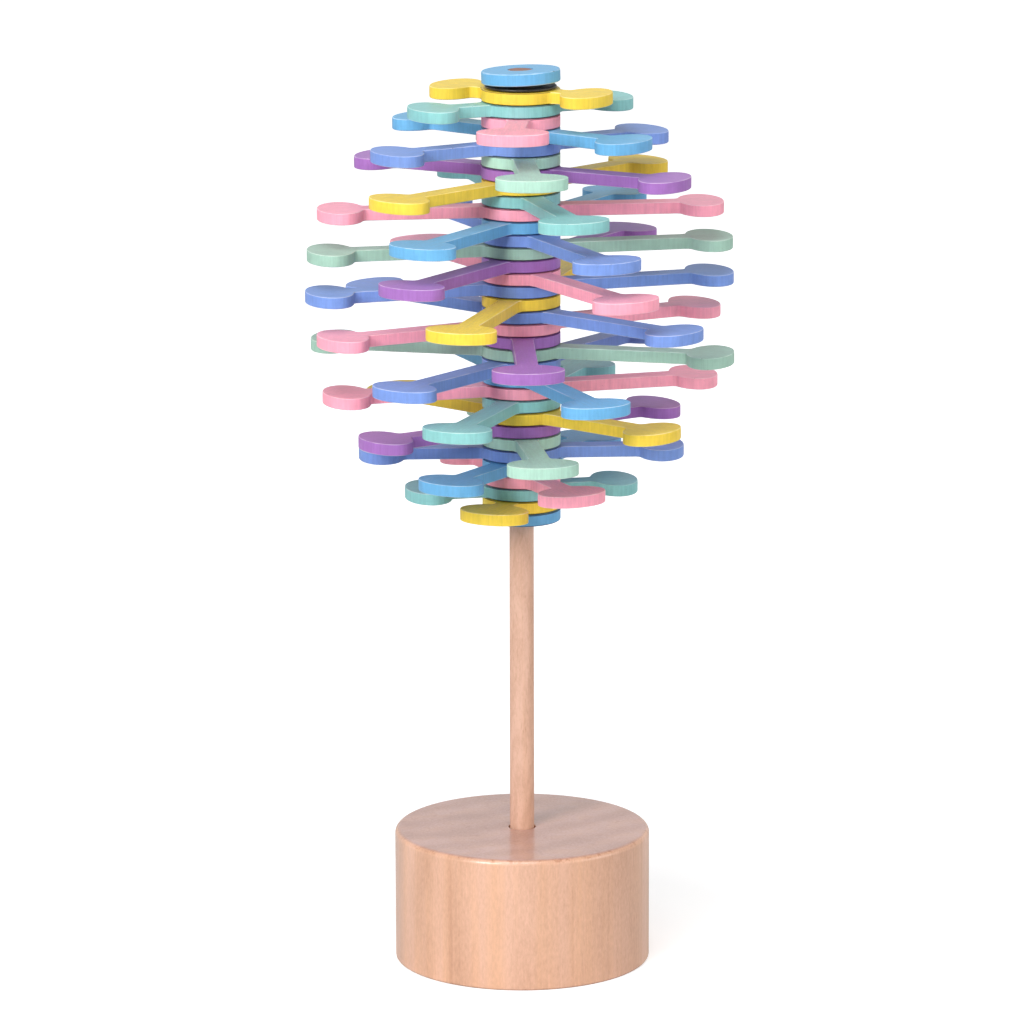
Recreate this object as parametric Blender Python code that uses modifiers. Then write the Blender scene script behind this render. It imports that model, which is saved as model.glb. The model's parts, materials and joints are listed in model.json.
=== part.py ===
# Rotating fidget toy: a turned hardwood base, a dowel that spins freely in it, and a tall
# stack of flat, double-ended wooden blades strung on the dowel under a glued cap.
#
# The blades turn one after another. Each has a short pin on its top face, which runs in an
# arc slot through the blade above, and a collar glued to the dowel drives the lowest blade.
# Spun one way the stack closes up into a twist, and spun the other way it opens to a ball.
#
# Metres, +Z up. The origin is the middle of the base's underside, and the rod stands on +Z.

import math

import bmesh
import bpy

MM = 0.001
DEG = math.pi / 180

# Base, a turned block with a blind socket for the rod
BASE_DIA = 82.2 * MM
BASE_HEIGHT = 43 * MM
BASE_TOP_ROUND = 1.8 * MM
BASE_FOOT_ROUND = 0.8 * MM
SOCKET_DEPTH = 32 * MM
SOCKET_MOUTH = 0.4 * MM

# Rod, a dowel that stands in the socket and is glued to the collar and the cap
ROD_DIA = 7.8 * MM
ROD_SHOWING = 102 * MM
ROD_END_CHAMFER = 0.5 * MM
ROD_BELOW_CAP_FACE = 0.5 * MM

# Clearances
SEAT_GAP = 0.3 * MM
SOCKET_CLEARANCE = 0.4 * MM
BORE_CLEARANCE = 0.35 * MM
SLOT_CLEARANCE = 0.3 * MM

# Blades, cut from flat stock: a round hub, two narrow arms and an oval paddle on each
BLADE_COUNT = 33
BLADE_THICKNESS = 3.8 * MM
HUB_DIA = 25 * MM
PADDLE_ACROSS = 22.6 * MM
PADDLE_ALONG = 14.8 * MM
ARM_WIDTH = 6.8 * MM
HUB_FILLET = 3 * MM
PADDLE_FILLET = 1.6 * MM

# The tips lie on a ball: its radius at the middle of the stack, and at both ends
MIDDLE_TIP_RADIUS = 70.5 * MM
END_TIP_RADIUS = 30.5 * MM

# Stop pins and their arc slots. Two neighbours stand at least STEP_MIN and at most STEP_MAX
# apart, seen from above with the lower blade ahead.
PIN_DIA = 2.8 * MM
PIN_CIRCLE_RADIUS = 8.3 * MM
PIN_BELOW_SLOT_TOP = 0.8 * MM
PIN_ROOT = 1.2 * MM
STEP_MIN = 8
STEP_MAX = 88

# Pose in the photograph, in whole degrees: where the top blade points, and how far each
# blade stands short of its far stop on the one below, from the top blade down
TOP_BLADE_HEADING = -27
SHORT_OF_STOP = (36, 27, 32, 20, 24, 30, 15, 26, 8, 36, 31, 12, 43, 24, 12, 32, 22,
                 20, 23, 13, 22, 28, 5, 35, 17, 15, 23, 3, 34, 29, 12, 32, 22)

# Discs at the ends of the stack
COLLAR_HEIGHT = 3.8 * MM
CAP_HEIGHT = 4 * MM
DISC_EDGE_ROUND = 0.5 * MM
CAP_TILT = 2.6
CAP_LOW_SIDE = 150
WASHER_DIA = 22.8 * MM
WASHER_THICKNESS = 0.8 * MM

# Facets
BASE_SIDES = 48
DISC_SIDES = 32
ROD_SIDES = 20
BORE_SIDES = 14
PIN_SIDES = 8
ARC_STEP = 20
OVAL_STEP = 15
FILLET_FACETS = 2

# Lacquered natural wood, black rubber, and the seven paints with their order from either end
NATURAL_BASE = (0.80, 0.56, 0.36)
NATURAL_ROD = (0.66, 0.42, 0.30)
BLACK = (0.012, 0.011, 0.010)
PAINT = {
    "yellow": (0.86, 0.60, 0.05),
    "teal": (0.20, 0.56, 0.54),
    "pink": (0.86, 0.28, 0.38),
    "sky": (0.12, 0.44, 0.78),
    "periwinkle": (0.16, 0.28, 0.72),
    "mint": (0.38, 0.70, 0.56),
    "purple": (0.36, 0.12, 0.52),
}
FROM_THE_END = ("yellow", "teal", "pink", "sky", "periwinkle", "mint", "purple",
                "yellow", "teal", "pink", "sky", "periwinkle", "mint", "purple",
                "pink", "periwinkle", "yellow")

# Places that follow from the sizes
BLADE_PITCH = BLADE_THICKNESS + SEAT_GAP
SOCKET_FLOOR = BASE_HEIGHT - SOCKET_DEPTH
COLLAR_BOTTOM = BASE_HEIGHT + ROD_SHOWING
LOWEST_BLADE_MID = COLLAR_BOTTOM + COLLAR_HEIGHT + SEAT_GAP + BLADE_THICKNESS / 2
STACK_TOP = LOWEST_BLADE_MID + (BLADE_COUNT - 1) * BLADE_PITCH + BLADE_THICKNESS / 2
WASHER_MID = STACK_TOP + SEAT_GAP + WASHER_THICKNESS / 2
CAP_DROP = HUB_DIA / 2 * math.sin(CAP_TILT * DEG)
CAP_MID = WASHER_MID + WASHER_THICKNESS / 2 + SEAT_GAP + CAP_DROP + CAP_HEIGHT / 2
ROD_BOTTOM = SOCKET_FLOOR + SEAT_GAP
ROD_TOP = CAP_MID + CAP_HEIGHT / 2 - ROD_BELOW_CAP_FACE
BORE_RADIUS = ROD_DIA / 2 + BORE_CLEARANCE
SLOT_HALF_WIDTH = PIN_DIA / 2 + SLOT_CLEARANCE
SLOT_TRAVEL = STEP_MAX - STEP_MIN
PIN_HEADING = -(STEP_MIN + STEP_MAX) / 2
PIN_RISE = SEAT_GAP + BLADE_THICKNESS - PIN_BELOW_SLOT_TOP


def clear_scene():
    for ob in list(bpy.data.objects):
        bpy.data.objects.remove(ob, do_unlink=True)


def make_collection(name):
    collection = bpy.data.collections.new(name)
    bpy.context.scene.collection.children.link(collection)
    return collection


def make_material(name, color, roughness):
    material = bpy.data.materials.new(name)
    material.use_nodes = True
    shader = material.node_tree.nodes["Principled BSDF"]
    shader.inputs["Base Color"].default_value = (*color, 1)
    shader.inputs["Roughness"].default_value = roughness
    shader.inputs["Metallic"].default_value = 0
    material.diffuse_color = (*color, 1)
    return material


def add_object(name, data, collection, material=None):
    ob = bpy.data.objects.new(name, data)
    collection.objects.link(ob)
    if material:
        ob.data.materials.append(material)
    return ob


def shade(mesh):
    mesh.shade_smooth()
    mesh.set_sharp_from_angle(angle=35 * DEG)


def arc(center, radius, start, end, facets):
    """Points on an arc between two angles in radians, with both ends."""
    return [(center[0] + radius * math.cos(start + (end - start) * i / facets),
             center[1] + radius * math.sin(start + (end - start) * i / facets))
            for i in range(facets + 1)]


def facets_for(angle, step=ARC_STEP):
    return max(2, math.ceil(abs(angle) / DEG / step))


# Turned pieces

def turned(name, profile, sides, collection, material, closed=False):
    """A profile of (radius, height) points, run down the outer side, turned about Z."""
    mesh = bpy.data.meshes.new(name)
    edges = [(i, i + 1) for i in range(len(profile) - 1)]
    if closed:
        edges.append((len(profile) - 1, 0))
    mesh.from_pydata([(r, 0, z) for r, z in profile], edges, [])
    ob = add_object(name, mesh, collection)
    screw = ob.modifiers.new("turn", "SCREW")
    screw.axis = "Z"
    screw.steps = screw.render_steps = sides
    screw.use_merge_vertices = True
    screw.merge_threshold = 0.00001
    return ob_from_evaluated(ob, name, collection, material)


def rounded_corner(radius, height, size, start, facets=3):
    """Corner points of a turned profile: an arc of the given size inside the corner."""
    down = start <= 0
    center = (radius - size, height + size if down else height - size)
    return arc(center, size, start * DEG, (start - 90) * DEG, facets)


def ob_from_evaluated(source, name, collection, material):
    """Replaces an object by the mesh that its modifiers or its curve make."""
    depsgraph = bpy.context.evaluated_depsgraph_get()
    mesh = bpy.data.meshes.new_from_object(source.evaluated_get(depsgraph))
    bpy.data.objects.remove(source, do_unlink=True)
    bm = bmesh.new()
    bm.from_mesh(mesh)
    bmesh.ops.remove_doubles(bm, verts=bm.verts, dist=0.00001)
    bmesh.ops.recalc_face_normals(bm, faces=bm.faces)
    bm.to_mesh(mesh)
    bm.free()
    mesh.name = name
    mesh.materials.clear()
    shade(mesh)
    return add_object(name, mesh, collection, material)


def turned_ring(name, diameter, height, edge, collection, material):
    """A disc with a rod bore, centred on the origin, its outer edges rounded."""
    outer, half = diameter / 2, height / 2
    profile = [(BORE_RADIUS, half)]
    profile += rounded_corner(outer, half, edge, 90, 2)
    profile += rounded_corner(outer, -half, edge, 0, 2)
    profile += [(BORE_RADIUS, -half)]
    return turned(name, profile, DISC_SIDES, collection, material, closed=True)


def make_base(collection):
    outer = BASE_DIA / 2
    socket = ROD_DIA / 2 + SOCKET_CLEARANCE
    profile = [(0, SOCKET_FLOOR), (socket, SOCKET_FLOOR), (socket, BASE_HEIGHT - SOCKET_MOUTH),
               (socket + SOCKET_MOUTH, BASE_HEIGHT)]
    profile += rounded_corner(outer, BASE_HEIGHT, BASE_TOP_ROUND, 90)
    profile += rounded_corner(outer, 0, BASE_FOOT_ROUND, 0, 2)
    profile += [(0, 0)]
    return turned("base_block", profile, BASE_SIDES, collection,
                  make_material("base_wood", NATURAL_BASE, 0.28))


def make_rod(collection):
    """The dowel, with its origin at the foot of the socket, on the axis it spins about."""
    radius, length = ROD_DIA / 2, ROD_TOP - ROD_BOTTOM
    profile = [(0, length), (radius - ROD_END_CHAMFER, length), (radius, length - ROD_END_CHAMFER),
               (radius, ROD_END_CHAMFER), (radius - ROD_END_CHAMFER, 0), (0, 0)]
    rod = turned("rod", profile, ROD_SIDES, collection, make_material("rod_wood", NATURAL_ROD, 0.5))
    rod.location.z = ROD_BOTTOM
    return rod


# Blades

def tip_radius(index):
    """How far a blade reaches: an ellipse through the middle and the end blades."""
    half_stack = (BLADE_COUNT - 1) / 2
    share = (index - half_stack) / half_stack
    end = END_TIP_RADIUS / MIDDLE_TIP_RADIUS
    return MIDDLE_TIP_RADIUS * math.sqrt(1 - (1 - end * end) * share * share)


def off_paddle(turn, gap):
    """A point outside the paddle's oval, the given gap from it, and the way out to it."""
    along, across = PADDLE_ALONG / 2, PADDLE_ACROSS / 2
    out = math.atan2(along * math.sin(turn), across * math.cos(turn))
    return (along * math.cos(turn) + gap * math.cos(out),
            across * math.sin(turn) + gap * math.sin(out), out)


def fillet_places(center, neck):
    """Both fillets of an arm with the given half width: the paddle's as its angle on the
    oval, and how far out each fillet's middle lies."""
    low, high = math.pi / 2, math.pi
    for _ in range(40):
        turn = (low + high) / 2
        if off_paddle(turn, PADDLE_FILLET)[1] > neck + PADDLE_FILLET:
            low = turn
        else:
            high = turn
    hub = HUB_DIA / 2 + HUB_FILLET
    at_hub = math.sqrt(hub * hub - (neck + HUB_FILLET) ** 2)
    return turn, center + off_paddle(turn, PADDLE_FILLET)[0], at_hub


def quarter_outline(reach):
    """The blade's edge from the tip of its +X paddle to its hub on +Y."""
    hub, center = HUB_DIA / 2, reach - PADDLE_ALONG / 2
    neck = ARM_WIDTH / 2
    turn, at_paddle, at_hub = fillet_places(center, neck)
    if at_paddle < at_hub:
        # A short blade, whose fillets meet in a neck that is wider than the arm
        low, high = neck, 0.7 * hub
        for _ in range(40):
            neck = (low + high) / 2
            turn, at_paddle, at_hub = fillet_places(center, neck)
            if at_paddle < at_hub:
                low = neck
            else:
                high = neck

    facets = facets_for(turn, OVAL_STEP)
    ovals = [off_paddle(turn * i / facets, 0) for i in range(facets + 1)]
    points = [(center + x, y) for x, y, _ in ovals]
    out = off_paddle(turn, 0)[2]
    points += arc((at_paddle, neck + PADDLE_FILLET), PADDLE_FILLET, out - math.pi, -math.pi / 2,
                  FILLET_FACETS)[1:]
    hub_end = math.atan2(neck + HUB_FILLET, at_hub)
    bend = arc((at_hub, neck + HUB_FILLET), HUB_FILLET, -math.pi / 2, hub_end - math.pi,
               FILLET_FACETS)
    points += bend if at_paddle - at_hub > 0.05 * MM else bend[1:]
    points += arc((0, 0), hub, hub_end, math.pi / 2, facets_for(math.pi / 2 - hub_end))[1:]
    return points


def blade_outline(reach):
    first = quarter_outline(reach)
    second = [(-x, y) for x, y in reversed(first[:-1])]
    upper = first + second
    return upper + [(-x, -y) for x, y in upper[1:-1]]


def slot_outline():
    """The arc slot, centred on the -X arm, where the hub has most wood round it."""
    half = SLOT_TRAVEL / 2 * DEG
    facets = facets_for(2 * half)
    inner, outer = PIN_CIRCLE_RADIUS - SLOT_HALF_WIDTH, PIN_CIRCLE_RADIUS + SLOT_HALF_WIDTH

    def slot_end(angle, start):
        center = (PIN_CIRCLE_RADIUS * math.cos(angle), PIN_CIRCLE_RADIUS * math.sin(angle))
        return arc(center, SLOT_HALF_WIDTH, start, start + math.pi, 5)[1:-1]

    first, last = math.pi - half, math.pi + half
    return (arc((0, 0), outer, first, last, facets) + slot_end(last, last)
            + arc((0, 0), inner, last, first, facets) + slot_end(first, first + math.pi))


def flat_plate(name, outlines, thickness, collection):
    """Closed outlines filled and extruded to a plate about the XY plane, as a 2D curve."""
    curve = bpy.data.curves.new(name, "CURVE")
    curve.dimensions = "2D"
    curve.fill_mode = "BOTH"
    curve.extrude = thickness / 2
    for outline in outlines:
        spline = curve.splines.new("POLY")
        spline.points.add(len(outline) - 1)
        for point, (x, y) in zip(spline.points, outline):
            point.co = (x, y, 0, 1)
        spline.use_cyclic_u = True
    return ob_from_evaluated(add_object(name, curve, collection), name, collection, None)


def make_pin(cutters):
    """The stop pin's stand-in, rising from the origin of the face it is glued into."""
    bm = bmesh.new()
    bmesh.ops.create_cone(bm, cap_ends=True, segments=PIN_SIDES, radius1=PIN_DIA / 2,
                          radius2=PIN_DIA / 2, depth=PIN_ROOT + PIN_RISE)
    mesh = bpy.data.meshes.new("pin")
    bm.to_mesh(mesh)
    bm.free()
    pin = add_object("pin", mesh, cutters)
    pin.hide_render = True
    pin.display_type = "WIRE"
    return pin


def with_pin(ob, pin, face_height, collection, material):
    """Joins the stop pin to the top face of a piece that is still at the origin."""
    heading = PIN_HEADING * DEG
    pin.location = (PIN_CIRCLE_RADIUS * math.cos(heading), PIN_CIRCLE_RADIUS * math.sin(heading),
                    face_height + (PIN_RISE - PIN_ROOT) / 2)
    union = ob.modifiers.new("pin", "BOOLEAN")
    union.operation = "UNION"
    union.object = pin
    bpy.context.view_layer.update()
    return ob_from_evaluated(ob, ob.name, collection, material)


def make_blade(index, pin, collection, paints):
    """One blade about its own origin. The top one has no blade above, so it has no pin."""
    name = f"blade_{index + 1:02d}"
    bore = arc((0, 0), BORE_RADIUS, 0, 2 * math.pi, BORE_SIDES)[:-1]
    outlines = [blade_outline(tip_radius(index)), bore, slot_outline()]
    blade = flat_plate(name, outlines, BLADE_THICKNESS, collection)
    from_end = min(index, BLADE_COUNT - 1 - index)
    paint = paints[FROM_THE_END[from_end % len(FROM_THE_END)]]
    if index == 0:
        blade.data.materials.append(paint)
        return blade
    return with_pin(blade, pin, BLADE_THICKNESS / 2, collection, paint)


def rest_step(index):
    """Degrees from one blade to the next one down, in the photographed pose."""
    return STEP_MAX - SHORT_OF_STOP[index % len(SHORT_OF_STOP)]


def stand_on(ob, carrier, height, turn):
    """Parents a piece to the one that carries it, so that the stack turns as a chain."""
    ob.parent = carrier
    ob.location = (0, 0, height)
    ob.rotation_euler = (0, 0, turn * DEG)


def make_stack(rod, collection, cutters):
    """The collar on the rod, then the blades from the lowest to the top one."""
    paints = {name: make_material(f"paint_{name}", color, 0.6) for name, color in PAINT.items()}
    pin = make_pin(cutters)

    # The next blade down is a half turn and one step ahead, so a pin and a slot that lie on
    # opposite sides of every hub meet
    heading = TOP_BLADE_HEADING + sum(rest_step(i) + 180 for i in range(BLADE_COUNT))
    collar = turned_ring("bottom_collar", HUB_DIA, COLLAR_HEIGHT, DISC_EDGE_ROUND, collection, None)
    collar = with_pin(collar, pin, COLLAR_HEIGHT / 2, collection, paints["periwinkle"])
    stand_on(collar, rod, COLLAR_BOTTOM + COLLAR_HEIGHT / 2 - ROD_BOTTOM, heading % 360)

    carrier, height = collar, LOWEST_BLADE_MID - (COLLAR_BOTTOM + COLLAR_HEIGHT / 2)
    for index in reversed(range(BLADE_COUNT)):
        blade = make_blade(index, pin, collection, paints)
        stand_on(blade, carrier, height, 180 - rest_step(index))
        carrier, height = blade, BLADE_PITCH
    return paints


def make_top(rod, collection, paints):
    """The black washer on the top blade and the cap glued a little askew on the rod's end."""
    washer = turned_ring("top_washer", WASHER_DIA, WASHER_THICKNESS, WASHER_THICKNESS / 4,
                         collection, make_material("washer_rubber", BLACK, 0.45))
    stand_on(washer, rod, WASHER_MID - ROD_BOTTOM, 0)
    cap = turned_ring("end_cap", HUB_DIA, CAP_HEIGHT, DISC_EDGE_ROUND, collection, paints["sky"])
    cap.parent = rod
    cap.location.z = CAP_MID - ROD_BOTTOM
    low = CAP_LOW_SIDE * DEG
    cap.rotation_mode = "AXIS_ANGLE"
    cap.rotation_axis_angle = (CAP_TILT * DEG, -math.sin(low), math.cos(low), 0)


def main():
    clear_scene()
    collection = make_collection("rotating_fidget_toy")
    cutters = make_collection("cutters")
    make_base(collection)
    rod = make_rod(collection)
    paints = make_stack(rod, collection, cutters)
    make_top(rod, collection, paints)
    bpy.context.view_layer.update()


main()
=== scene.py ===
import json
import math

import bpy
import numpy as np
from mathutils import Matrix, Vector


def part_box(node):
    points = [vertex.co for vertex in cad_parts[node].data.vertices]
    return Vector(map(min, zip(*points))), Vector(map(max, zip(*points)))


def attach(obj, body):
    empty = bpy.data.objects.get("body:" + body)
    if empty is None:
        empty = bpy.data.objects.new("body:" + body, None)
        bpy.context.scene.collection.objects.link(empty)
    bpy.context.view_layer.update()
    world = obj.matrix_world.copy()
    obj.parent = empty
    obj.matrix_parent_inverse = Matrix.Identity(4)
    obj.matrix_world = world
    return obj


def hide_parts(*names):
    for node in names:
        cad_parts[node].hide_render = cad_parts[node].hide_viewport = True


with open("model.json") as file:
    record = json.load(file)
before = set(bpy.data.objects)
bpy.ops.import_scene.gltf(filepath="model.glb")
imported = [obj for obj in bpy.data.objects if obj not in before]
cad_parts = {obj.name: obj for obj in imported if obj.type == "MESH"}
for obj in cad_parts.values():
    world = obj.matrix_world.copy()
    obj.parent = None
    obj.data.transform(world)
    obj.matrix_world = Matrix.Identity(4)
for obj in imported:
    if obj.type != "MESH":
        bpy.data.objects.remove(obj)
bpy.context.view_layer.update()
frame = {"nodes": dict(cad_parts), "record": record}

mm = 0.001
tiny = 0.01 * mm
slotOf = {part["node"]: part["material_slot"] for part in frame["record"]["subparts"]}
bodyOf = {node: body for body, nodes in frame["record"]["behaviour"]["bodies"].items()
          for node in nodes}
bladeNames = sorted(name for name in frame["nodes"] if name.startswith("blade_"))


# Camera, set to the photograph's view: it looks down on the stack from straight ahead

photo = {
    "side": 1024,            # pixels
    "sensor": 36,            # millimetres
    "stackColumn": 521.8,    # where the middle of the middle blade lies
    "stackRow": 298.8,
    "pixelsPerRadian": 5982,
    "distance": 1.9,         # metres, from the middle blade
    "elevation": 10.66,      # degrees, of the camera seen from the middle blade
    "lean": 0.13,            # degrees that the picture is turned anticlockwise
}


def makeCamera():
    low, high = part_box(bladeNames[len(bladeNames) // 2])
    middle = Vector((0, 0, low[2] + blade["thickness"] / 2))
    rise = math.radians(photo["elevation"])
    place = middle + photo["distance"] * Vector((0, -math.cos(rise), math.sin(rise)))
    offsetX = (photo["stackColumn"] - photo["side"] / 2) / photo["pixelsPerRadian"]
    offsetY = (photo["side"] / 2 - photo["stackRow"]) / photo["pixelsPerRadian"]
    data = bpy.data.cameras.new("photoCamera")
    data.sensor_width = photo["sensor"]
    data.lens = photo["pixelsPerRadian"] / photo["side"] * photo["sensor"]
    data.clip_start, data.clip_end = 0.05, 60
    camera = bpy.data.objects.new("photoCamera", data)
    bpy.context.scene.collection.objects.link(camera)
    camera.location = place
    camera.rotation_euler = (math.pi / 2 - rise - math.atan(offsetY), 0, math.atan(offsetX))
    camera.rotation_euler.rotate_axis("Z", -math.radians(photo["lean"]))
    bpy.context.scene.camera = camera
    print("camera at", [round(v, 3) for v in place])


# Modelling helpers

def deselectAll():
    if bpy.context.mode != "OBJECT":
        bpy.ops.object.mode_set(mode="OBJECT")
    bpy.ops.object.select_all(action="DESELECT")


def makeActive(ob):
    deselectAll()
    ob.select_set(True)
    bpy.context.view_layer.objects.active = ob


def addCylinder(name, radius, low, high, place=(0, 0), vertices=96):
    deselectAll()
    bpy.ops.mesh.primitive_cylinder_add(vertices=vertices, radius=radius, depth=high - low,
                                        location=(place[0], place[1], (low + high) / 2))
    ob = bpy.context.active_object
    ob.name = name
    bpy.ops.object.transform_apply(location=True, rotation=True, scale=True)
    return ob


def addBlock(name, low, high):
    deselectAll()
    bpy.ops.mesh.primitive_cube_add(size=1, location=[(a + b) / 2 for a, b in zip(low, high)])
    ob = bpy.context.active_object
    ob.name = name
    ob.scale = [b - a for a, b in zip(low, high)]
    bpy.ops.object.transform_apply(location=True, rotation=True, scale=True)
    return ob


def combine(ob, other, operation):
    makeActive(ob)
    boolean = ob.modifiers.new("combine", "BOOLEAN")
    boolean.operation = operation
    boolean.object = other
    bpy.ops.object.modifier_apply(modifier=boolean.name)
    bpy.data.objects.remove(other, do_unlink=True)
    return ob


def selectParts(ob, kind, test):
    # kind is "vertices", "edges" or "polygons", and test gets the object's mesh and the part
    makeActive(ob)
    mesh = ob.data
    kinds = ("vertices", "edges", "polygons")
    for parts in (getattr(mesh, each) for each in kinds):
        parts.foreach_set("select", [False] * len(parts))
    for part in getattr(mesh, kind):
        part.select = bool(test(mesh, part))
    # set before edit mode starts, or the edges between chosen vertices are taken too
    bpy.context.tool_settings.mesh_select_mode = [kind == each for each in kinds]
    bpy.ops.object.mode_set(mode="EDIT")


def editAll(ob):
    makeActive(ob)
    bpy.ops.object.mode_set(mode="EDIT")
    bpy.ops.mesh.select_all(action="SELECT")


def leaveEdit():
    bpy.ops.object.mode_set(mode="OBJECT")


def edgeEnds(mesh, edge):
    return [mesh.vertices[i].co for i in edge.vertices]


def isLevel(mesh, edge):
    first, last = edgeEnds(mesh, edge)
    return abs(first.z - last.z) < tiny


def bevelWhere(ob, width, segments, test):
    selectParts(ob, "edges", test)
    bpy.ops.mesh.bevel(offset=width, segments=segments, profile=0.5, affect="EDGES")
    leaveEdit()


def cleanFlats(ob):
    editAll(ob)
    bpy.ops.mesh.remove_doubles(threshold=tiny)
    bpy.ops.mesh.dissolve_limited(angle_limit=math.radians(0.4))
    bpy.ops.mesh.normals_make_consistent(inside=False)
    leaveEdit()


def shadeByAngle(ob, degrees=32):
    # smooth rims, while the large flat faces stay flat
    makeActive(ob)
    bpy.ops.object.shade_smooth_by_angle(angle=math.radians(degrees))
    flats = ob.modifiers.new("flats", "WEIGHTED_NORMAL")
    flats.mode = "FACE_AREA_WITH_ANGLE"
    flats.weight = 100
    flats.keep_sharp = True
    bpy.ops.object.modifier_apply(modifier=flats.name)


def meshVertices(mesh):
    places = np.empty(len(mesh.vertices) * 3, dtype=np.float32)
    mesh.vertices.foreach_get("co", places)
    return places.reshape(-1, 3)


def nodeVertices(node):
    return meshVertices(frame["nodes"][node].data).astype(float)


def storeGrain(ob, offset, paintedLight=1.0, stacked=False):
    # the wood's own directions, kept with the surface however the piece is turned afterwards
    mesh = ob.data
    places = meshVertices(mesh)
    grain = mesh.attributes.new("grain", "FLOAT_VECTOR", "POINT")
    grain.data.foreach_set("vector", (places + np.array(offset)).astype(np.float32).ravel())
    # a brightness factor for painted light and shade, 1 where there is none
    paintedLights = mesh.attributes.new("paintedLight", "FLOAT", "POINT")
    paintedLights.data.foreach_set("value", np.full(len(places), paintedLight, dtype=np.float32))
    # where hubs lie on one another their rims aren't worn, and their rims get painted shade that
    # stands in for the shadow in the thin gaps between them
    seams = mesh.attributes.new("seam", "FLOAT", "POINT")
    onHub = np.hypot(*places[:, :2].T) < blade["hubRadius"] + 0.5 * mm
    seams.data.foreach_set("value", (onHub & stacked).astype(np.float32))


def placePiece(ob, node, matrix, material):
    ob.name = ob.data.name = node + "_shown"
    ob.data.transform(matrix)
    ob.data.update()
    ob.data.materials.clear()
    ob.data.materials.append(material)
    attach(ob, bodyOf[node])
    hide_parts(node)


# Materials

def addNode(tree, kind, column, row, inputs=(), **settings):
    node = tree.nodes.new(kind)
    node.location = (column * 200, -row * 220)
    for name, value in settings.items():
        setattr(node, name, value)
    for name, value in dict(inputs).items():
        if hasattr(value, "is_output"):
            tree.links.new(value, node.inputs[name])
        else:
            node.inputs[name].default_value = value
    return node


def addGroup(name, inputs, outputs):
    tree = bpy.data.node_groups.new(name, "ShaderNodeTree")
    for label, kind, value in inputs:
        socket = tree.interface.new_socket(label, in_out="INPUT", socket_type=kind)
        socket.default_value = value
    for label, kind in outputs:
        tree.interface.new_socket(label, in_out="OUTPUT", socket_type=kind)
    return tree, addNode(tree, "NodeGroupInput", -6, 0), addNode(tree, "NodeGroupOutput", 10, 0)


def multiplyVector(tree, source, scale, column, row):
    return addNode(tree, "ShaderNodeVectorMath", column, row, {0: source, 1: scale},
                   operation="MULTIPLY").outputs[0]


def noise(tree, source, scale, column, row, detail=3, roughness=0.55):
    scaled = multiplyVector(tree, source, scale, column, row)
    return addNode(tree, "ShaderNodeTexNoise", column + 1, row,
                   {"Vector": scaled, "Scale": 1, "Detail": detail,
                    "Roughness": roughness}).outputs["Fac"]


def remap(tree, value, low, high, toLow, toHigh, column, row):
    return addNode(tree, "ShaderNodeMapRange", column, row,
                   {"Value": value, "From Min": low, "From Max": high,
                    "To Min": toLow, "To Max": toHigh}, clamp=True).outputs[0]


def calculate(tree, operation, a, b, column, row):
    return addNode(tree, "ShaderNodeMath", column, row, {0: a, 1: b},
                   operation=operation).outputs[0]


def mixColors(tree, kind, factor, a, b, column, row):
    return addNode(tree, "ShaderNodeMix", column, row, {0: factor, 6: a, 7: b},
                   data_type="RGBA", blend_type=kind, clamp_factor=True).outputs[2]


def scaleColor(tree, color, value, column, row):
    return addNode(tree, "ShaderNodeVectorMath", column, row, {0: color, 3: value},
                   operation="SCALE").outputs[0]


paintFinish = {
    "streaks": (70, 1300, 500),      # the patterns' scales along, across and through a blade
    "blotches": (160, 260, 300),
    "sawMarks": (1100, 1100, 90),
    "specks": (900, 2600, 2600),
    "mottle": (700, 1500, 1500),
    "chips": (520, 520, 520),
    "streakLight": (0.91, 1.06),     # how much they darken and lighten the paint
    "mottleLight": (0.93, 1.07),
    "blotchLight": (0.95, 1.04),
    "sawLight": (0.89, 1.07),
    "edgeDepth": 0.08,               # extra colour on the sawn edges
    "pores": 0.35,
    "poreTint": (0.55, 0.5, 0.5, 1),
    # pale colour for the rims, which are partly worn paint and partly painted highlight, and for
    # the painted grain sheen
    "primerAndSheen": (0.96, 0.93, 0.88, 1),
    "primerAndSheenShare": 0.42,
    # painted sheen: pale streaks along the grain on level faces
    "paintedGrainSheen": 0.3,
    # painted shade for the gaps between stacked hubs
    "seamShadeTint": (0.3, 0.22, 0.28, 1),
    "chipStrength": 0.8,
    "chipTint": (0.35, 0.32, 0.3, 1),
    "roughness": (0.34, 0.5),
    "specular": 0.22,
    "relief": (0.2, 0.12 * mm),      # strength and depth
}


def uprightness(tree, row):
    # 1 on level faces, 0 on faces that stand
    normal = addNode(tree, "ShaderNodeNewGeometry", -5, row)
    split = addNode(tree, "ShaderNodeSeparateXYZ", -4, row, {0: normal.outputs["Normal"]})
    return addNode(tree, "ShaderNodeMath", -3, row, {0: split.outputs[2]},
                   operation="ABSOLUTE").outputs[0]


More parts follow.
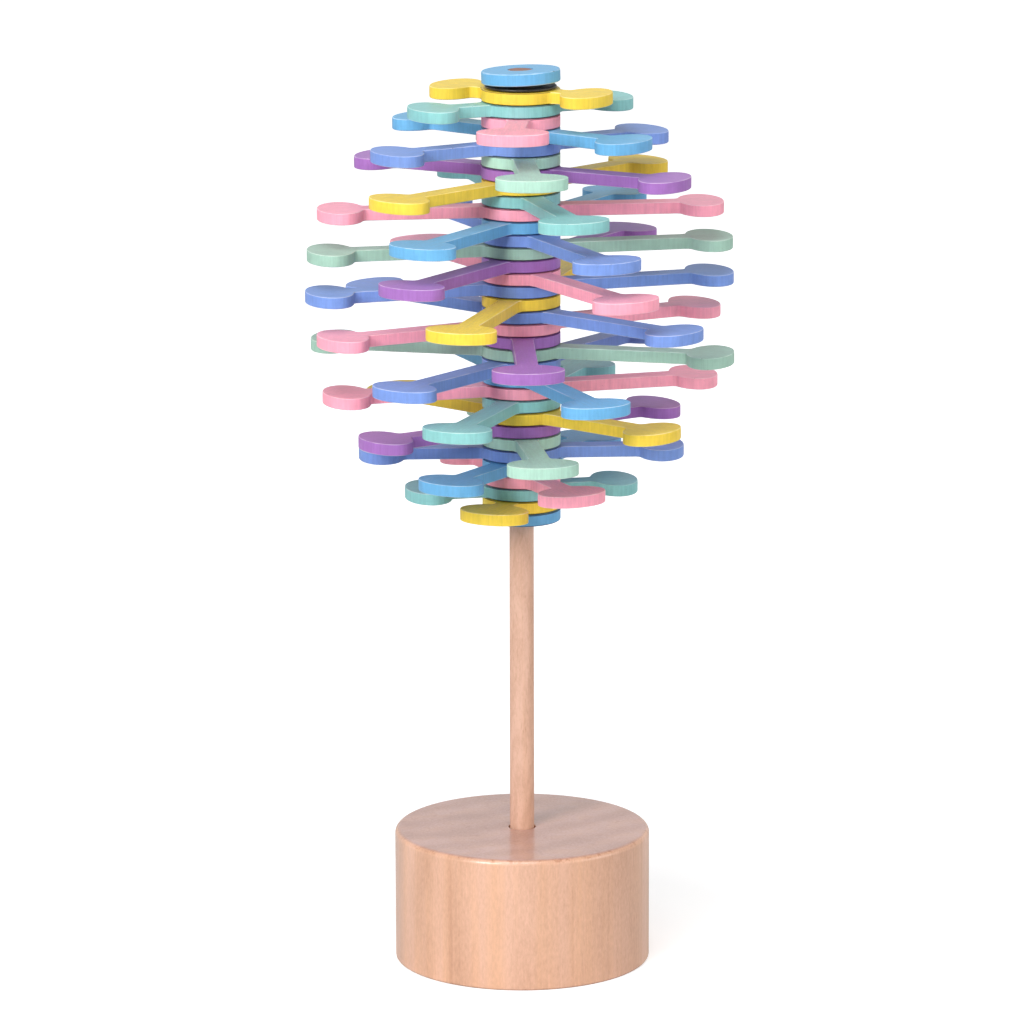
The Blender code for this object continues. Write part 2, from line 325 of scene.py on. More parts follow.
def makePaintGroup():
    # thin paint on sawn wood: grain along the blade, saw marks on the cut edges, pale rims that are
    # partly wear and partly painted highlight, painted sheen in streaks along the grain on level
    # faces, and painted shade at the seams between stacked hubs
    f = paintFinish
    tree, given, out = addGroup(
        "thinPaintOnWood",
        [("Paint", "NodeSocketColor", (1, 1, 1, 1)), ("Grain Place", "NodeSocketVector", (0, 0, 0)),
         ("Painted Light", "NodeSocketFloat", 1), ("Seam", "NodeSocketFloat", 0),
         ("Rim Wear And Highlight", "NodeSocketFloat", 0.8)],
        [("Color", "NodeSocketColor"), ("Roughness", "NodeSocketFloat"),
         ("Height", "NodeSocketFloat")])
    place = given.outputs["Grain Place"]
    streaks = noise(tree, place, f["streaks"], -5, 1, detail=4, roughness=0.6)
    blotches = noise(tree, place, f["blotches"], -5, 2, detail=2)
    sawMarks = noise(tree, place, f["sawMarks"], -5, 3, detail=4, roughness=0.7)
    specks = noise(tree, place, f["specks"], -5, 4, detail=2, roughness=0.7)
    chipping = noise(tree, place, f["chips"], -5, 10, detail=3, roughness=0.7)
    mottle = noise(tree, place, f["mottle"], -5, 11, detail=4, roughness=0.75)

    upright = uprightness(tree, 5)
    edgeFace = remap(tree, upright, 0.2, 0.75, 1, 0, -2, 5)
    rimUp = remap(tree, upright, 0.15, 0.45, 0, 1, -2, 6)
    rimDown = remap(tree, upright, 0.8, 0.985, 1, 0, -2, 7)
    rim = calculate(tree, "MULTIPLY", rimUp, rimDown, -1, 6)
    rimBroken = calculate(tree, "MULTIPLY", rim,
                          remap(tree, blotches, 0.35, 0.6, 0.35, 1, -1, 7), 0, 6)

    topLight = calculate(tree, "MULTIPLY", remap(tree, streaks, 0.3, 0.7, *f["streakLight"], -2, 1),
                         remap(tree, mottle, 0.35, 0.65, *f["mottleLight"], -2, 11), -1, 1)
    blotchLight = remap(tree, blotches, 0.3, 0.7, *f["blotchLight"], -2, 2)
    sawLight = remap(tree, sawMarks, 0.3, 0.7, *f["sawLight"], -2, 3)
    sawOnEdge = addNode(tree, "ShaderNodeMix", -1, 3,
                        {0: edgeFace, 2: topLight, 3: sawLight}).outputs[0]
    light = calculate(tree, "MULTIPLY", calculate(tree, "MULTIPLY", sawOnEdge, blotchLight, 0, 2),
                      given.outputs["Painted Light"], 1, 2)
    painted = scaleColor(tree, given.outputs["Paint"], light, 2, 1)
    sawnShare = calculate(tree, "MULTIPLY", edgeFace, f["edgeDepth"], 2, 3)
    deeper = mixColors(tree, "MULTIPLY", sawnShare, painted, given.outputs["Paint"], 3, 1)
    pores = remap(tree, specks, 0.66, 0.74, 0, f["pores"], 2, 4)
    withPores = mixColors(tree, "MULTIPLY", pores, deeper, f["poreTint"], 4, 1)
    pale = mixColors(tree, "MIX", f["primerAndSheenShare"], given.outputs["Paint"], f["primerAndSheen"], 4, 3)
    # painted sheen: pale streaks along the grain on level faces stand in for light reflected off
    # the tops
    paintedGrainSheen = calculate(tree, "MULTIPLY",
                           remap(tree, streaks, 0.6, 0.72, 0, f["paintedGrainSheen"], 3, 8),
                           remap(tree, upright, 0.9, 0.99, 0, 1, 3, 9), 4, 8)
    streaked = mixColors(tree, "MIX", paintedGrainSheen, withPores, pale, 5, 2)
    # rims are paled: partly worn paint, partly a painted highlight along the rounded edges; rims at
    # the seams of stacked hubs are left out
    openRim = calculate(tree, "SUBTRACT", given.outputs["Rim Wear And Highlight"], given.outputs["Seam"], 2, 6)
    worn = mixColors(tree, "MIX", calculate(tree, "MULTIPLY", rimBroken, openRim, 3, 6),
                     streaked, pale, 6, 1)
    # painted shade: rims of stacked hubs are darkened where the gaps between them fall in shadow
    seamShade = calculate(tree, "MULTIPLY", rim, given.outputs["Seam"], 5, 7)
    seamShaded = mixColors(tree, "MULTIPLY", seamShade, worn, f["seamShadeTint"], 7, 1)
    chips = remap(tree, chipping, 0.66, 0.7, 0, f["chipStrength"], -2, 10)
    rimChips = calculate(tree, "MULTIPLY", chips, rim, 4, 10)
    chipped = mixColors(tree, "MULTIPLY", rimChips, seamShaded, f["chipTint"], 8, 1)
    tree.links.new(chipped, out.inputs["Color"])
    tree.links.new(remap(tree, streaks, 0.3, 0.7, *f["roughness"], 5, 3), out.inputs["Roughness"])
    relief = addNode(tree, "ShaderNodeMix", 4, 5, {0: edgeFace, 2: streaks, 3: sawMarks}).outputs[0]
    tree.links.new(calculate(tree, "SUBTRACT", relief, pores, 5, 5), out.inputs["Height"])
    return tree


woodFinish = {
    "waver": (38, 38, 9),            # the patterns' scales
    "fibres": (1500, 1500, 30),
    "flecks": (2600, 2600, 260),
    "clouds": (45, 45, 14),
    "mottle": (1500, 1500, 520),
    "bands": (170, 170, 5),
    "darkLines": (330, 330, 5),
    "dents": (420, 420, 420),
    "waverReach": (0.03, 0.03, 0),   # metres that the rings stray
    "ringWarp": {"Distortion": 1.5, "Detail": 2, "Detail Scale": 1.2},
    "fibreDepth": (0, 0.2),          # how far they turn the pale wood into the dark
    "mottleDepth": (-0.2, 0.3),
    "cloudDepth": (-0.12, 0.3),
    "fleckTint": (0.62, 0.45, 0.36, 1),
    "lineDepth": 0.2,
    "lineTint": (0.62, 0.46, 0.38, 1),
    "scuffTint": (0.66, 0.48, 0.36, 1),
    "roughness": (0.0, 0.1),         # added to each wood's own
    "coatRoughness": 0.12,
    "relief": (0.15, 0.08 * mm),     # strength and depth
}


def makeWoodGroup():
    # clear wood: growth rings about a pith off to one side, with fine fibre lines along Z
    f = woodFinish
    tree, given, out = addGroup(
        "clearWood",
        [("Pale", "NodeSocketColor", (1, 1, 1, 1)), ("Dark", "NodeSocketColor", (1, 1, 1, 1)),
         ("Grain Place", "NodeSocketVector", (0, 0, 0)), ("Ring Scale", "NodeSocketFloat", 40),
         ("Ring Strength", "NodeSocketFloat", 0.5), ("Fleck Strength", "NodeSocketFloat", 0.5),
         ("Band", "NodeSocketColor", (1, 1, 1, 1)), ("End Grain", "NodeSocketColor", (1, 1, 1, 1)),
         ("Scuffs", "NodeSocketFloat", 0)],
        [("Color", "NodeSocketColor"), ("Roughness", "NodeSocketFloat"),
         ("Height", "NodeSocketFloat")])
    place = given.outputs["Grain Place"]
    waver = noise(tree, place, f["waver"], -5, 1, detail=3)
    bend = multiplyVector(tree, waver, f["waverReach"], -2, 1)
    bent = addNode(tree, "ShaderNodeVectorMath", -1, 1, {0: place, 1: bend},
                   operation="ADD").outputs[0]
    rings = addNode(tree, "ShaderNodeTexWave", 0, 1,
                    {"Vector": bent, "Scale": given.outputs["Ring Scale"], **f["ringWarp"]},
                    wave_type="RINGS", rings_direction="Z", wave_profile="SIN").outputs["Fac"]
    fibres = noise(tree, place, f["fibres"], -5, 2, detail=3, roughness=0.6)
    flecks = noise(tree, place, f["flecks"], -5, 3, detail=2, roughness=0.5)
    clouds = noise(tree, place, f["clouds"], -5, 4, detail=2)
    mottle = noise(tree, place, f["mottle"], -5, 10, detail=3, roughness=0.7)
    banding = noise(tree, place, f["bands"], -5, 6, detail=2)
    darkLines = noise(tree, place, f["darkLines"], -5, 5, detail=1)
    denting = noise(tree, place, f["dents"], -5, 9, detail=2, roughness=0.7)

    ringPart = calculate(tree, "MULTIPLY", remap(tree, rings, 0.05, 0.95, 0, 1, 1, 1),
                         given.outputs["Ring Strength"], 2, 1)
    cloudPart = remap(tree, clouds, 0.35, 0.65, *f["cloudDepth"], -2, 4)
    grainPart = calculate(tree, "ADD", remap(tree, fibres, 0.3, 0.7, *f["fibreDepth"], -2, 2),
                          remap(tree, mottle, 0.3, 0.7, *f["mottleDepth"], -2, 10), 2, 2)
    ringsAndGrain = calculate(tree, "ADD", ringPart, grainPart, 3, 1)
    amount = calculate(tree, "ADD", ringsAndGrain, cloudPart, 4, 1)
    bands = remap(tree, banding, 0.4, 0.6, 0, 1, -2, 6)
    pale = mixColors(tree, "MULTIPLY", bands, given.outputs["Pale"], given.outputs["Band"], 4, 2)
    wood = mixColors(tree, "MIX", amount, pale, given.outputs["Dark"], 5, 1)
    fleckPart = calculate(tree, "MULTIPLY", remap(tree, flecks, 0.62, 0.7, 0, 1, 2, 3),
                          given.outputs["Fleck Strength"], 3, 3)
    flecked = mixColors(tree, "MULTIPLY", fleckPart, wood, f["fleckTint"], 6, 1)
    lined = mixColors(tree, "MULTIPLY", remap(tree, darkLines, 0.62, 0.72, 0, f["lineDepth"], 3, 5),
                      flecked, f["lineTint"], 7, 2)

    # level faces are multiplied by the level face tint
    upright = uprightness(tree, 7)
    levelTinted = mixColors(tree, "MULTIPLY", remap(tree, upright, 0.75, 0.99, 0, 1, -2, 7), lined,
                      given.outputs["End Grain"], 8, 2)
    rim = calculate(tree, "MULTIPLY", remap(tree, upright, 0.3, 0.6, 0, 1, -2, 8),
                    remap(tree, upright, 0.86, 0.995, 1, 0, -2, 9), -1, 8)
    dents = remap(tree, denting, 0.56, 0.66, 0.25, 1, 0, 9)
    scuffed = calculate(tree, "MULTIPLY", calculate(tree, "MULTIPLY", rim, dents, 1, 8),
                        given.outputs["Scuffs"], 2, 8)
    rubbed = mixColors(tree, "MULTIPLY", scuffed, levelTinted, f["scuffTint"], 9, 2)
    tree.links.new(rubbed, out.inputs["Color"])
    tree.links.new(remap(tree, fibres, 0.3, 0.7, *f["roughness"], 6, 3), out.inputs["Roughness"])
    tree.links.new(calculate(tree, "SUBTRACT", fibres, fleckPart, 6, 5), out.inputs["Height"])
    return tree


def newMaterial(name):
    material = bpy.data.materials.new(name)
    material.use_nodes = True
    tree = material.node_tree
    return material, tree, tree.nodes["Principled BSDF"]


def startMaterial(name, group, inputs):
    material, tree, shader = newMaterial(name)
    place = addNode(tree, "ShaderNodeAttribute", -5, 1, attribute_name="grain")
    finish = tree.nodes.new("ShaderNodeGroup")
    finish.node_tree = group
    finish.location = (-500, 0)
    for label, value in inputs.items():
        finish.inputs[label].default_value = value
    tree.links.new(place.outputs["Vector"], finish.inputs["Grain Place"])
    tree.links.new(finish.outputs["Color"], shader.inputs["Base Color"])
    return material, tree, shader, finish


def addRelief(tree, shader, height, strength, depth):
    bump = addNode(tree, "ShaderNodeBump", -1, 3,
                   {"Height": height, "Strength": strength, "Distance": depth})
    tree.links.new(bump.outputs["Normal"], shader.inputs["Normal"])


paintColors = {  # as linear light
    "paint_yellow": (0.90, 0.655, 0.075),
    "paint_teal": (0.27, 0.58, 0.57),
    "paint_pink": (0.97, 0.40, 0.51),
    "paint_sky": (0.16, 0.445, 0.73),
    "paint_periwinkle": (0.20, 0.325, 0.71),
    "paint_mint": (0.43, 0.665, 0.55),
    "paint_purple": (0.38, 0.17, 0.50),
}


def makePaint(name, group):
    material, tree, shader, finish = startMaterial(name, group, {"Paint": (*paintColors[name], 1)})
    paintedLight = addNode(tree, "ShaderNodeAttribute", -5, 3, attribute_name="paintedLight")
    tree.links.new(paintedLight.outputs["Fac"], finish.inputs["Painted Light"])
    seam = addNode(tree, "ShaderNodeAttribute", -5, 4, attribute_name="seam")
    tree.links.new(seam.outputs["Fac"], finish.inputs["Seam"])
    tree.links.new(finish.outputs["Roughness"], shader.inputs["Roughness"])
    shader.inputs["Specular IOR Level"].default_value = paintFinish["specular"]
    addRelief(tree, shader, finish.outputs["Height"], *paintFinish["relief"])
    return material


clearWoods = {
    "base_wood": {"Pale": (0.77, 0.46, 0.325, 1), "Dark": (0.55, 0.30, 0.19, 1), "Ring Scale": 22,
                  "Ring Strength": 0.38, "Fleck Strength": 0.14, "Band": (1.0, 0.96, 0.86, 1),
                  # painted shade and sheen: the base's level top is tinted darker and bluish,
                  # standing in for less light from above and the pale reflection seen at a grazing
                  # view
                  "End Grain": (0.69, 0.68, 0.83, 1),
                  "Scuffs": 0.75, "roughness": 0.3, "coat": 0.45},
    "rod_wood": {"Pale": (0.72, 0.45, 0.335, 1), "Dark": (0.52, 0.29, 0.19, 1), "Ring Scale": 90,
                 "Ring Strength": 0.3, "Fleck Strength": 0.35, "Band": (1.0, 0.94, 0.84, 1),
                 # the rod's level ends are tinted darker
                 "End Grain": (0.4, 0.31, 0.32, 1),
                 "Scuffs": 0.0, "roughness": 0.5, "coat": 0.0},
}


def makeClearWood(name, group):
    values = clearWoods[name]
    inputs = {label: value for label, value in values.items() if label[0].isupper()}
    material, tree, shader, finish = startMaterial(name, group, inputs)
    rough = calculate(tree, "ADD", finish.outputs["Roughness"], values["roughness"], -1, 1)
    tree.links.new(rough, shader.inputs["Roughness"])
    shader.inputs["Coat Weight"].default_value = values["coat"]
    shader.inputs["Coat Roughness"].default_value = woodFinish["coatRoughness"]
    addRelief(tree, shader, finish.outputs["Height"], *woodFinish["relief"])
    return material


rubber = {"grit": (1400, 1400, 1400), "black": (0.009, 0.008, 0.008, 1),
          "worn": (0.03, 0.027, 0.025, 1), "roughness": (0.25, 0.5), "relief": (0.3, 0.1 * mm)}


def makeRubber():
    material, tree, shader = newMaterial("washer_rubber")
    place = addNode(tree, "ShaderNodeTexCoord", -8, 1)
    grit = noise(tree, place.outputs["Object"], rubber["grit"], -7, 1)
    black = mixColors(tree, "MIX", remap(tree, grit, 0.35, 0.7, 0, 1, -4, 1),
                      rubber["black"], rubber["worn"], -3, 1)
    tree.links.new(black, shader.inputs["Base Color"])
    tree.links.new(remap(tree, grit, 0.3, 0.7, *rubber["roughness"], -3, 3),
                   shader.inputs["Roughness"])
    addRelief(tree, shader, grit, *rubber["relief"])
    return material


def makeMaterials():
    paintGroup, woodGroup = makePaintGroup(), makeWoodGroup()
    materials = {name: makePaint(name, paintGroup) for name in paintColors}
    materials.update({name: makeClearWood(name, woodGroup) for name in clearWoods})
    materials["washer_rubber"] = makeRubber()
    print("materials:", len(materials))
    return materials


# Blades

blade = {
    "thickness": 3.8 * mm,
    "hubRadius": 12.5 * mm,
    "paddleAlong": 7.4 * mm,      # half sizes of the oval paddles
    "paddleAcross": 11.3 * mm,
    "armHalfWidth": 3.4 * mm,
    "hubFillet": 3 * mm,
    "paddleFillet": 1.6 * mm,
    "boreRadius": 4.25 * mm,
    "rimRound": 0.32 * mm,
    "pinRadius": 1.4 * mm,
    "pinCircle": 8.3 * mm,
    "pinHeading": -48,            # degrees from the blade's length
    "pinRise": 3.3 * mm,
    "slotHalfWidth": 1.7 * mm,
    "slotTravel": 80,             # degrees, about the far side of the hub
    "masterReach": 60 * mm,
    "cutAt": 14.6 * mm,           # the arms are straight from here to the paddles' fillets
    "grainStep": (0.31, 0.07, 0.05),
}


def outsideOval(turn, gap):
    # a point at a gap outside the paddle's oval, seen from the oval's middle
    along, across = blade["paddleAlong"], blade["paddleAcross"]
    out = math.atan2(along * math.sin(turn), across * math.cos(turn))
    return (along * math.cos(turn) + gap * math.cos(out),
            across * math.sin(turn) + gap * math.sin(out))


def paddleFillet():
    # where the fillet's middle lies and where it touches the oval, both seen from the oval's middle
    b = blade
    low, high = math.pi / 2, math.pi
    for _ in range(40):
        turn = (low + high) / 2
        if outsideOval(turn, b["paddleFillet"])[1] > b["armHalfWidth"] + b["paddleFillet"]:
            low = turn
        else:
            high = turn
    return outsideOval(turn, b["paddleFillet"]), outsideOval(turn, 0)


def addOval(name, place):
    ob = addCylinder(name, 1, -blade["thickness"] / 2, blade["thickness"] / 2, vertices=112)
    ob.scale = (blade["paddleAlong"], blade["paddleAcross"], 1)
    ob.location.x = place
    bpy.ops.object.transform_apply(location=True, rotation=True, scale=True)
    return ob


def addSlot(ob):
    b = blade
    start = math.pi - math.radians(b["slotTravel"] / 2)
    half = b["thickness"]
    for turn in (0, math.radians(b["slotTravel"])):
        place = (b["pinCircle"] * math.cos(start + turn), b["pinCircle"] * math.sin(start + turn))
        combine(ob, addCylinder("slotEnd", b["slotHalfWidth"], -half, half, place, 32),
                "DIFFERENCE")
    deselectAll()
    bpy.ops.mesh.primitive_plane_add(size=1)
    sweep = bpy.context.active_object
    sweep.data.transform(Matrix.Rotation(start, 4, "Z") @ Matrix.Translation((b["pinCircle"], 0, 0))
                         @ Matrix.Rotation(math.pi / 2, 4, "X")
                         @ Matrix.Diagonal((2 * b["slotHalfWidth"], 2 * half, 1, 1)))
    editAll(sweep)
    bpy.ops.mesh.spin(steps=28, angle=-math.radians(b["slotTravel"]),
                      center=(0, 0, 0), axis=(0, 0, 1))
    bpy.ops.mesh.select_all(action="SELECT")
    bpy.ops.mesh.remove_doubles(threshold=tiny)
    bpy.ops.mesh.normals_make_consistent(inside=False)
    leaveEdit()
    combine(ob, sweep, "DIFFERENCE")


def modelPlate():
    # hub, arms and paddles in one plate, with hollow fillets where they meet
    b = blade
    half = b["thickness"] / 2
    center = b["masterReach"] - b["paddleAlong"]
    ob = addCylinder("blade", b["hubRadius"], -half, half, vertices=144)
    arm = b["armHalfWidth"]
    combine(ob, addBlock("arms", (-center, -arm, -half), (center, arm, half)), "UNION")
    rise = arm + b["hubFillet"]
    hubFilletX = math.sqrt((b["hubRadius"] + b["hubFillet"]) ** 2 - rise ** 2)
    hubTouch = rise * b["hubRadius"] / (b["hubRadius"] + b["hubFillet"])
    (filletX, filletY), (touchX, touchY) = paddleFillet()
    cutters = []
    for side in (1, -1):
        combine(ob, addOval("paddle", side * center), "UNION")
        for near, far, width in ((0, hubFilletX, hubTouch), (center + filletX, center, touchY)):
            ends = sorted((side * near, side * far))
            combine(ob, addBlock("web", (ends[0], -width, -half), (ends[1], width, half)), "UNION")
        for up in (1, -1):
            cutters.append((side * hubFilletX, up * rise, b["hubFillet"]))
            cutters.append((side * (center + filletX), up * filletY, b["paddleFillet"]))
    for x, y, radius in cutters:
        combine(ob, addCylinder("filletCutter", radius, -2 * half, 2 * half, (x, y), 64),
                "DIFFERENCE")
    cleanFlats(ob)
    bevelWhere(ob, b["rimRound"], 3, lambda mesh, edge: isRim(mesh, edge, half))
    for side in (1, -1):
        editAll(ob)
        bpy.ops.mesh.bisect(plane_co=(side * b["cutAt"], 0, 0), plane_no=(1, 0, 0))
        leaveEdit()
    combine(ob, addCylinder("boreCutter", b["boreRadius"], -2 * half, 2 * half, vertices=64),
            "DIFFERENCE")
    addSlot(ob)
    print("blade plate with", len(ob.data.polygons), "faces")
    return ob


def addPin(ob):
    b = blade
    angle = math.radians(b["pinHeading"])
    place = (b["pinCircle"] * math.cos(angle), b["pinCircle"] * math.sin(angle))
    combine(ob, addCylinder("pin", b["pinRadius"], 0, b["thickness"] / 2 + b["pinRise"], place, 24),
            "UNION")


def isRim(mesh, edge, half):
    # an outer edge of the plate's top or bottom face
    ends = edgeEnds(mesh, edge)
    if not isLevel(mesh, edge) or any(abs(abs(end.z) - half) > tiny for end in ends):
        return False
    steep = [face for face in facesOf(mesh, edge) if abs(mesh.polygons[face].normal.z) < 0.5]
    return len(steep) == 1


edgeFaces = {}


def facesOf(mesh, edge):
    if edgeFaces.get("mesh") != mesh.name or edgeFaces.get("count") != len(mesh.polygons):
        edgeFaces.clear()
        edgeFaces.update({"mesh": mesh.name, "count": len(mesh.polygons), "table": {}})
        for polygon in mesh.polygons:
            for key in polygon.edge_keys:
                edgeFaces["table"].setdefault(key, []).append(polygon.index)
    return edgeFaces["table"].get(edge.key, [])


def copyOf(ob):
    copy = ob.copy()
    copy.data = ob.data.copy()
    bpy.context.scene.collection.objects.link(copy)
    return copy


def stretchTo(ob, reach):
    # slides both paddles along the arms, which are straight between the fillets
    change = reach - blade["masterReach"]
    for side in (1, -1):
        selectParts(ob, "vertices", lambda mesh, v: side * v.co.x > blade["cutAt"] + 0.1 * mm)
        bpy.ops.transform.translate(value=(side * change, 0, 0))
        leaveEdit()


def readBlade(node):
    # where the frame holds a blade: its reach, its heading, and the height of its middle
    places = nodeVertices(node)
    radii = np.hypot(places[:, 0], places[:, 1])
    tip = places[radii.argmax()]
    heading = math.atan2(tip[1], tip[0])
    top = places[places[:, 2] > places[:, 2].max() - 0.1 * mm]
    if places[:, 2].max() - places[:, 2].min() > 1.2 * blade["thickness"]:
        pin = top.mean(axis=0)
        turn = math.degrees(math.atan2(pin[1], pin[0]) - heading) - blade["pinHeading"]
        if abs((turn + 180) % 360 - 180) > 90:
            heading += math.pi
    return radii.max(), heading, places[:, 2].min() + blade["thickness"] / 2


# painted light and shade: blades 13 and 21 are painted darker and blades 6 and 28 lighter in the
# same paint, standing in for how the light falls on them
bladePaintedLight = {"blade_13": 0.86, "blade_21": 0.86, "blade_28": 1.04, "blade_06": 1.04}


def makeBlades(materials):
    plain = modelPlate()
    pinned = copyOf(plain)
    addPin(pinned)
    for index, node in enumerate(bladeNames):
        reach, heading, height = readBlade(node)
        ob = copyOf(pinned if index else plain)
        stretchTo(ob, reach)
        shadeByAngle(ob)
        storeGrain(ob, [step * index for step in blade["grainStep"]], bladePaintedLight.get(node, 1.0),
                   stacked=True)
        matrix = Matrix.Translation((0, 0, height)) @ Matrix.Rotation(heading, 4, "Z")
        placePiece(ob, node, matrix, materials[slotOf[node]])
    for ob in (plain, pinned):
        bpy.data.objects.remove(ob, do_unlink=True)
    print("blades:", len(bladeNames))


# Discs, base and rod

disc = {"radius": 12.5 * mm, "edgeRound": 0.5 * mm, "washerRadius": 11.4 * mm,
        "washerRound": 0.35 * mm, "capThickness": 4 * mm, "capBore": 4.05 * mm,
        "collarGrain": (0.4, 0, 0), "capGrain": (0.9, 0.1, 0)}


def modelRing(name, radius, thickness, edgeRound, bore=blade["boreRadius"]):
    half = thickness / 2
    ob = addCylinder(name, radius, -half, half, vertices=128)
    bevelWhere(ob, edgeRound, 4, isLevel)
    return combine(ob, addCylinder("ringBore", bore, -2 * half, 2 * half, vertices=64),
                   "DIFFERENCE")


def discPose(node):
    # the disc's axis is the direction in which its points spread least
    places = nodeVertices(node)
    middle = (places.max(axis=0) + places.min(axis=0)) / 2
    axis = Vector(np.linalg.svd(places - places.mean(axis=0))[2][2])
    if axis.z < 0:
        axis = -axis
    return middle, axis


def makeDiscs(materials):
    low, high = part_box("bottom_collar")
    thickness = blade["thickness"]
    ob = modelRing("collar", disc["radius"], thickness, disc["edgeRound"])
    pins = nodeVertices("bottom_collar")
    pin = pins[pins[:, 2] > high[2] - 0.1 * mm].mean(axis=0)
    pinTop = high[2] - low[2] - thickness / 2
    combine(ob, addCylinder("pin", blade["pinRadius"], 0, pinTop, pin[:2], 24), "UNION")
    shadeByAngle(ob)
    storeGrain(ob, disc["collarGrain"], stacked=True)
    placePiece(ob, "bottom_collar", Matrix.Translation((0, 0, low[2] + thickness / 2)),
               materials[slotOf["bottom_collar"]])

    low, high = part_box("top_washer")
    ob = modelRing("washer", disc["washerRadius"], high[2] - low[2], disc["washerRound"])
    shadeByAngle(ob)
    placePiece(ob, "top_washer", Matrix.Translation((0, 0, (low[2] + high[2]) / 2)),
               materials["washer_rubber"])

    middle, axis = discPose("end_cap")
    ob = modelRing("cap", disc["radius"], disc["capThickness"], disc["edgeRound"], disc["capBore"])
    shadeByAngle(ob)
    storeGrain(ob, disc["capGrain"])
    turn = Vector((0, 0, 1)).rotation_difference(axis).to_matrix().to_4x4()
    placePiece(ob, "end_cap", Matrix.Translation(middle) @ turn, materials[slotOf["end_cap"]])
    print("cap leans", round(math.degrees(axis.angle(Vector((0, 0, 1)))), 2), "degrees")


base = {"topRound": 1.8 * mm, "footRound": 0.8 * mm, "socketRadius": 4.3 * mm,
        "socketDepth": 32 * mm, "socketMouth": 0.4 * mm, "grain": (0.055, -0.12, 0)}


def makeBase(materials):
    low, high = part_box("base_block")
    radius, height = (high[0] - low[0]) / 2, high[2]
    ob = addCylinder("base", radius, 0, height, vertices=192)
    combine(ob, addCylinder("socket", base["socketRadius"],
                            height - base["socketDepth"], height + 5 * mm,
                            vertices=64), "DIFFERENCE")
    outer = radius - 2 * tiny
    bevelWhere(ob, base["topRound"], 8, lambda mesh, edge: all(
        end.xy.length > outer and end.z > height - tiny for end in edgeEnds(mesh, edge)))
    bevelWhere(ob, base["footRound"], 4, lambda mesh, edge: all(
        end.xy.length > outer and end.z < tiny for end in edgeEnds(mesh, edge)))
    bevelWhere(ob, base["socketMouth"], 2, lambda mesh, edge: all(
        end.xy.length < base["socketRadius"] + 2 * tiny and end.z > height - tiny
        for end in edgeEnds(mesh, edge)))
    shadeByAngle(ob)
    storeGrain(ob, base["grain"])
    placePiece(ob, "base_block", Matrix.Identity(4), materials["base_wood"])
    print("base: radius", round(radius / mm, 2), "height", round(height / mm, 2))


rod = {"topRise": 0.4 * mm,   # so that its end is all but flush with the cap
       "endRound": 0.2 * mm, "grain": (0.03, 0.01, 0)}


def makeRod(materials):
    low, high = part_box("rod")
    radius = max(np.hypot(*nodeVertices("rod")[:, :2].T))
    ob = addCylinder("rod", radius, low[2], high[2] + rod["topRise"], vertices=64)
    bevelWhere(ob, rod["endRound"], 2, isLevel)
    shadeByAngle(ob)
    storeGrain(ob, rod["grain"])
    placePiece(ob, "rod", Matrix.Identity(4), materials["rod_wood"])
    print("rod: radius", round(radius / mm, 2), "top", round(high[2] / mm, 2))


# Studio

studio = {
    "aim": (0, 0, 0.17),
    "floorSize": 12,
    "floorTone": 0.7,
    "floorRoughness": 0.9,
    "floorSpecular": 0.1,
    "skyLight": 0.3,
    "skyGloss": 0.9,
    "floorLift": (0.5, 0.8),   # near the foot and far from it
    "liftReach": (0.08, 0.9),
    "lamps": {  # place, width, watts
        "keyLamp": ((-0.75, -1.15, 0.8), 0.55, 14.5),
        "fillLamp": ((1.25, -0.4, 0.5), 0.8, 4.6),
        "topLamp": ((-0.1, -0.85, 1.35), 0.9, 11.5),
        "backLeftLamp": ((-1.1, 1.0, 0.3), 0.6, 4.0),
        "backRightLamp": ((1.1, 0.9, 0.35), 0.6, 4.0),
    },
}


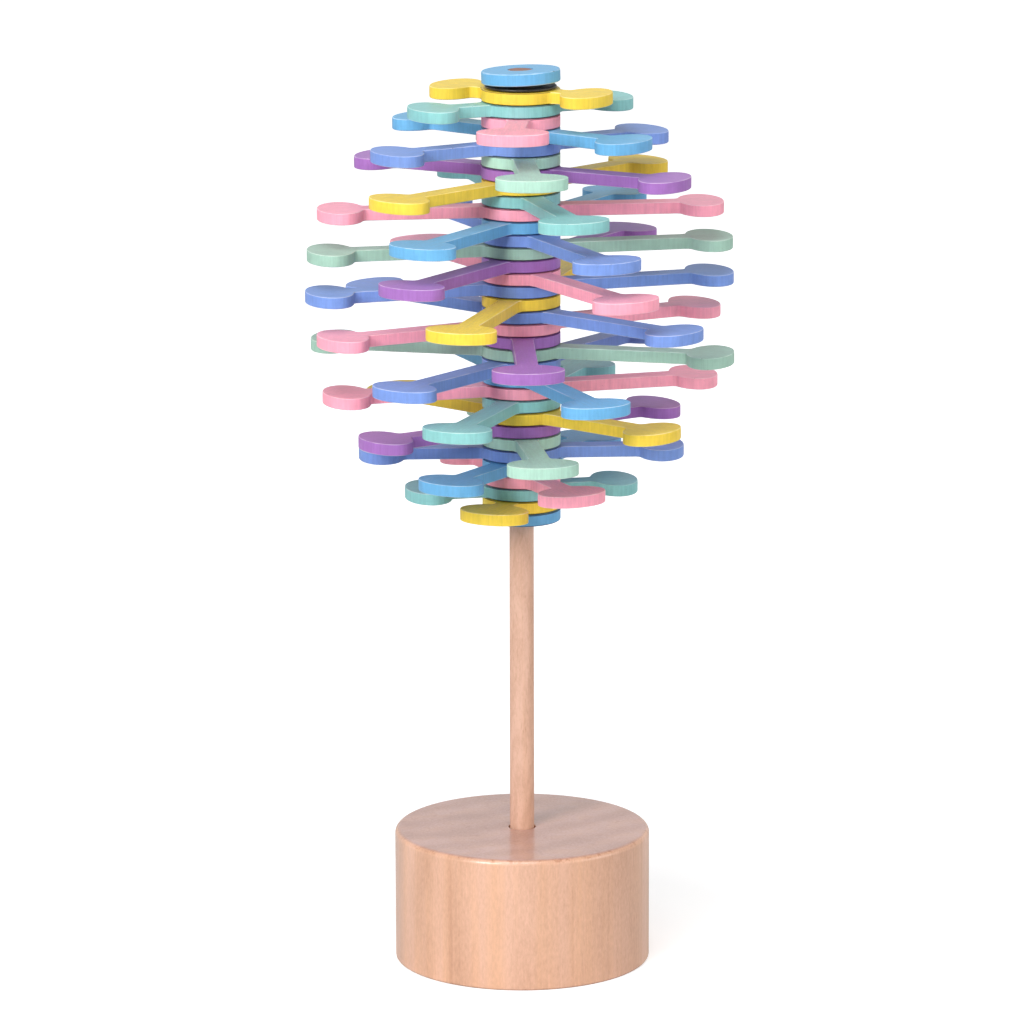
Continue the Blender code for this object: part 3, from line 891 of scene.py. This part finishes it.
def makeFloor():
    deselectAll()
    bpy.ops.mesh.primitive_plane_add(size=studio["floorSize"])
    floor = bpy.context.active_object
    floor.name = "floor"
    material, tree, shader = newMaterial("paleFloor")
    shader.inputs["Base Color"].default_value = (*[studio["floorTone"]] * 3, 1)
    shader.inputs["Roughness"].default_value = studio["floorRoughness"]
    shader.inputs["Specular IOR Level"].default_value = studio["floorSpecular"]
    path = addNode(tree, "ShaderNodeLightPath", -3, 2)
    spot = addNode(tree, "ShaderNodeTexCoord", -6, 3)
    away = addNode(tree, "ShaderNodeVectorMath", -5, 3, {0: spot.outputs["Object"]},
                   operation="LENGTH").outputs["Value"]
    liftHere = remap(tree, away, *studio["liftReach"], *studio["floorLift"], -3, 3)
    lift = calculate(tree, "MULTIPLY", path.outputs["Is Camera Ray"], liftHere, -1, 2)
    shader.inputs["Emission Color"].default_value = (1, 1, 1, 1)
    tree.links.new(lift, shader.inputs["Emission Strength"])
    floor.data.materials.append(material)


def makeSky():
    world = bpy.data.worlds.new("studioSky")
    bpy.context.scene.world = world
    world.use_nodes = True
    tree = world.node_tree
    sky = tree.nodes["Background"]
    path = addNode(tree, "ShaderNodeLightPath", -5, 0)
    lit = addNode(tree, "ShaderNodeMix", -3, 0,
                  {0: path.outputs["Is Glossy Ray"], 2: studio["skyLight"],
                   3: studio["skyGloss"]}).outputs[0]
    strength = addNode(tree, "ShaderNodeMix", -2, 0,
                       {0: path.outputs["Is Camera Ray"], 2: lit, 3: 1.0}).outputs[0]
    sky.inputs["Color"].default_value = (1, 1, 1, 1)
    tree.links.new(strength, sky.inputs["Strength"])


def makeLamps():
    aim = Vector(studio["aim"])
    for name, (place, width, watts) in studio["lamps"].items():
        data = bpy.data.lights.new(name, "AREA")
        data.shape = "SQUARE"
        data.size = width
        data.energy = watts
        lamp = bpy.data.objects.new(name, data)
        bpy.context.scene.collection.objects.link(lamp)
        lamp.location = place
        lamp.rotation_euler = (aim - Vector(place)).to_track_quat("-Z", "Y").to_euler()
        # the low lamps behind would glare on the base's top
        lamp.visible_glossy = not name.startswith("back")
    bpy.context.scene.view_settings.view_transform = "Standard"
    print("studio lit by", len(studio["lamps"]), "lamps")


makeCamera()
materials = makeMaterials()
makeBlades(materials)
makeDiscs(materials)
makeBase(materials)
makeRod(materials)
makeFloor()
makeSky()
makeLamps()
